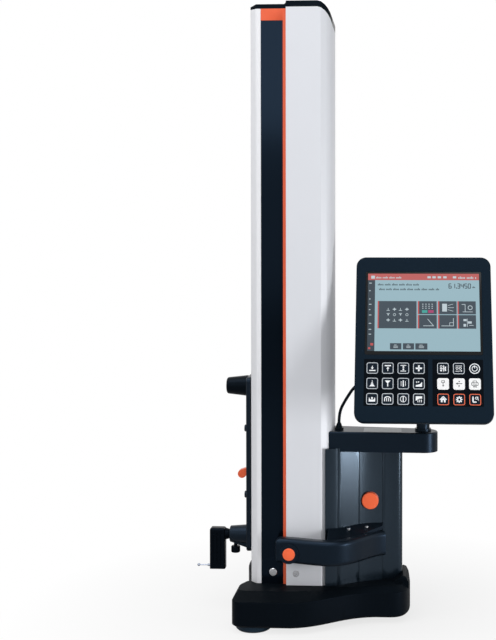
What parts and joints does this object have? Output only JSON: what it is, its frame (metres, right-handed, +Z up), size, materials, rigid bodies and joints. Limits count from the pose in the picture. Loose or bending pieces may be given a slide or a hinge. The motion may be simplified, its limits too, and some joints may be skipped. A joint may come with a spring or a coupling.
{
  "type": "height gauge",
  "caption": "Height gauge: a measuring slide with a ball probe on a tall column, on an air-bearing base with a carrying grip, rear power unit and tilting keyed display.",
  "frame": {"origin": "under the middle of the whole instrument, on the surface that the air pads stand on", "axes": "+Z up along the column, -X towards the probe side, -Y towards the operator and the display's face"},
  "size_m": [0.4897, 0.2685, 1.014],
  "materials": {
    "dark_casting": "satin, fine-textured paint",
    "dark_moulding": "fine-grained moulded plastic",
    "pad_blue": "smooth",
    "beam_aluminium": "black anodised",
    "silver_paint": "satin silver",
    "black_inlay": "gloss",
    "orange": "satin",
    "bright_steel": "polished",
    "motor_black": "satin",
    "scale_glass": "polished",
    "machined_aluminium": "machined",
    "weight_steel": "sawn and ground",
    "slide_black": "black anodised",
    "knob_black": "satin",
    "stylus_steel": "ground",
    "battery_grey": "moulded",
    "cable_rubber": "satin",
    "display_black": "satin",
    "screen_glass": "glossy, lit screen",
    "key_dark": "satin",
    "key_white": "satin"
  },
  "bodies": {
    "stand": {"base_casting": "dark_casting", "base_cover": "dark_moulding", "air_pads": "pad_blue", "column_beam": "beam_aluminium", "front_strips": "silver_paint", "side_inlays": "black_inlay", "accent_trims": "orange", "column_shell": "silver_paint", "top_cap": "black_inlay", "case_screws": "bright_steel", "drive_motor": "motor_black", "drive_belt": "bright_steel", "linear_scale": "scale_glass", "rear_housing": "dark_moulding", "battery_pack": "battery_grey", "air_compressor": "machined_aluminium", "display_arm": "dark_moulding", "cable_gland": "knob_black", "display_cable": "cable_rubber", "grip_handle": "dark_moulding"},
    "slider": {"carriage": "machined_aluminium", "slider_plate": "slide_black", "reader_head": "motor_black", "grip_knob": "knob_black", "plate_screws": "slide_black", "probe_boss": "slide_black"},
    "lever": {"clamp_lever": "orange"},
    "clamp_screw": {"clamp_knob": "knob_black"},
    "probe": {"probe_holder": "slide_black", "stylus": "stylus_steel"},
    "weight": {"counterweight": "weight_steel"},
    "upper_pulley": {"top_pulley": "machined_aluminium"},
    "lower_pulley": {"drive_pulley": "machined_aluminium"},
    "unit_switch": {"unit_button": "orange"},
    "grip_switch": {"grip_button": "orange"},
    "swivel": {"swivel_post": "motor_black"},
    "display": {"display_frame": "display_black", "display_back": "dark_moulding", "lcd_panel": "screen_glass"},
    "key_touch_down": {"key_touch_down": "key_dark"},
    "key_touch_up": {"key_touch_up": "key_dark"},
    "key_slot_width": {"key_slot_width": "key_dark"},
    "key_midpoint": {"key_midpoint": "key_dark"},
    "key_program": {"key_program": "key_dark"},
    "key_display_mode": {"key_display_mode": "key_dark"},
    "key_power": {"key_power": "key_dark"},
    "key_bore": {"key_bore": "key_dark"},
    "key_shaft": {"key_shaft": "key_dark"},
    "key_land_width": {"key_land_width": "key_dark"},
    "key_flatness": {"key_flatness": "key_dark"},
    "key_zero": {"key_zero": "key_white"},
    "key_preset": {"key_preset": "key_white"},
    "key_print": {"key_print": "key_white"},
    "key_peak": {"key_peak": "key_dark"},
    "key_valley": {"key_valley": "key_dark"},
    "key_squareness": {"key_squareness": "key_dark"},
    "key_straightness": {"key_straightness": "key_dark"},
    "key_home": {"key_home": "key_dark"},
    "key_settings": {"key_settings": "key_dark"},
    "key_probe": {"key_probe": "key_dark"}
  },
  "joints": [
    {"name": "slider_travel", "type": "slide", "parent": "stand", "child": "slider", "axis": [0, 0, 1], "range_m": [-0.07, 0.53]},
    {"name": "clamp_lever_tilt", "type": "hinge", "parent": "slider", "child": "lever", "pos_m": [-0.15365, 0.0103, 0.24], "axis": [0, 1, 0], "range_deg": [0, 55]},
    {"name": "clamp_screw_turn", "type": "hinge", "parent": "slider", "child": "clamp_screw", "pos_m": [-0.1794, 0.0103, 0.0975], "axis": [0, 0, 1], "range_deg": [0, 180]},
    {"name": "probe_turn", "type": "hinge", "parent": "slider", "child": "probe", "pos_m": [-0.1964, 0.0103, 0.1285], "axis": [1, 0, 0], "range_deg": [0, 180]},
    {"name": "weight_travel", "type": "slide", "parent": "stand", "child": "weight", "axis": [0, 0, 1], "range_m": [-0.53, 0.07]},
    {"name": "upper_pulley_turn", "type": "hinge", "parent": "stand", "child": "upper_pulley", "pos_m": [-0.0744, 0.0103, 0.95], "axis": [0, 1, 0], "range_deg": [-175, 1321]},
    {"name": "lower_pulley_turn", "type": "hinge", "parent": "stand", "child": "lower_pulley", "pos_m": [-0.0744, 0.0103, 0.095], "axis": [0, 1, 0], "range_deg": [-175, 1321]},
    {"name": "unit_switch_press", "type": "slide", "parent": "stand", "child": "unit_switch", "axis": [0, 1, 0], "range_m": [0, 0.003], "stiffness_N_per_m": 400},
    {"name": "grip_switch_press", "type": "slide", "parent": "stand", "child": "grip_switch", "axis": [0, 1, 0], "range_m": [0, 0.003], "stiffness_N_per_m": 400},
    {"name": "arm_swivel", "type": "hinge", "parent": "stand", "child": "swivel", "pos_m": [0.1361, -0.0207, 0.3116], "axis": [0, 0, 1], "range_deg": [-25, 60], "deforming": ["display_cable"]},
    {"name": "display_tilt", "type": "hinge", "parent": "swivel", "child": "display", "pos_m": [0.1361, -0.0357, 0.438], "axis": [-1, 0, 0], "range_deg": [-20, 35]},
    {"name": "key_touch_down_press", "type": "slide", "parent": "display", "child": "key_touch_down", "axis": [0, 0.9304, -0.3665], "range_m": [0, 0.0008], "stiffness_N_per_m": 300},
    {"name": "key_touch_up_press", "type": "slide", "parent": "display", "child": "key_touch_up", "axis": [0, 0.9304, -0.3665], "range_m": [0, 0.0008], "stiffness_N_per_m": 300},
    {"name": "key_slot_width_press", "type": "slide", "parent": "display", "child": "key_slot_width", "axis": [0, 0.9304, -0.3665], "range_m": [0, 0.0008], "stiffness_N_per_m": 300},
    {"name": "key_midpoint_press", "type": "slide", "parent": "display", "child": "key_midpoint", "axis": [0, 0.9304, -0.3665], "range_m": [0, 0.0008], "stiffness_N_per_m": 300},
    {"name": "key_program_press", "type": "slide", "parent": "display", "child": "key_program", "axis": [0, 0.9304, -0.3665], "range_m": [0, 0.0008], "stiffness_N_per_m": 300},
    {"name": "key_display_mode_press", "type": "slide", "parent": "display", "child": "key_display_mode", "axis": [0, 0.9304, -0.3665], "range_m": [0, 0.0008], "stiffness_N_per_m": 300},
    {"name": "key_power_press", "type": "slide", "parent": "display", "child": "key_power", "axis": [0, 0.9304, -0.3665], "range_m": [0, 0.0008], "stiffness_N_per_m": 300},
    {"name": "key_bore_press", "type": "slide", "parent": "display", "child": "key_bore", "axis": [0, 0.9304, -0.3665], "range_m": [0, 0.0008], "stiffness_N_per_m": 300},
    {"name": "key_shaft_press", "type": "slide", "parent": "display", "child": "key_shaft", "axis": [0, 0.9304, -0.3665], "range_m": [0, 0.0008], "stiffness_N_per_m": 300},
    {"name": "key_land_width_press", "type": "slide", "parent": "display", "child": "key_land_width", "axis": [0, 0.9304, -0.3665], "range_m": [0, 0.0008], "stiffness_N_per_m": 300},
    {"name": "key_flatness_press", "type": "slide", "parent": "display", "child": "key_flatness", "axis": [0, 0.9304, -0.3665], "range_m": [0, 0.0008], "stiffness_N_per_m": 300},
    {"name": "key_zero_press", "type": "slide", "parent": "display", "child": "key_zero", "axis": [0, 0.9304, -0.3665], "range_m": [0, 0.0008], "stiffness_N_per_m": 300},
    {"name": "key_preset_press", "type": "slide", "parent": "display", "child": "key_preset", "axis": [0, 0.9304, -0.3665], "range_m": [0, 0.0008], "stiffness_N_per_m": 300},
    {"name": "key_print_press", "type": "slide", "parent": "display", "child": "key_print", "axis": [0, 0.9304, -0.3665], "range_m": [0, 0.0008], "stiffness_N_per_m": 300},
    {"name": "key_peak_press", "type": "slide", "parent": "display", "child": "key_peak", "axis": [0, 0.9304, -0.3665], "range_m": [0, 0.0008], "stiffness_N_per_m": 300},
    {"name": "key_valley_press", "type": "slide", "parent": "display", "child": "key_valley", "axis": [0, 0.9304, -0.3665], "range_m": [0, 0.0008], "stiffness_N_per_m": 300},
    {"name": "key_squareness_press", "type": "slide", "parent": "display", "child": "key_squareness", "axis": [0, 0.9304, -0.3665], "range_m": [0, 0.0008], "stiffness_N_per_m": 300},
    {"name": "key_straightness_press", "type": "slide", "parent": "display", "child": "key_straightness", "axis": [0, 0.9304, -0.3665], "range_m": [0, 0.0008], "stiffness_N_per_m": 300},
    {"name": "key_home_press", "type": "slide", "parent": "display", "child": "key_home", "axis": [0, 0.9304, -0.3665], "range_m": [0, 0.0008], "stiffness_N_per_m": 300},
    {"name": "key_settings_press", "type": "slide", "parent": "display", "child": "key_settings", "axis": [0, 0.9304, -0.3665], "range_m": [0, 0.0008], "stiffness_N_per_m": 300},
    {"name": "key_probe_press", "type": "slide", "parent": "display", "child": "key_probe", "axis": [0, 0.9304, -0.3665], "range_m": [0, 0.0008], "stiffness_N_per_m": 300}
  ],
  "couplings": [
    {"joint": "weight_travel", "follows": "slider_travel", "ratio": -1},
    {"joint": "upper_pulley_turn", "follows": "slider_travel", "rad_per_m": 43.478},
    {"joint": "lower_pulley_turn", "follows": "slider_travel", "rad_per_m": 43.478}
  ]
}
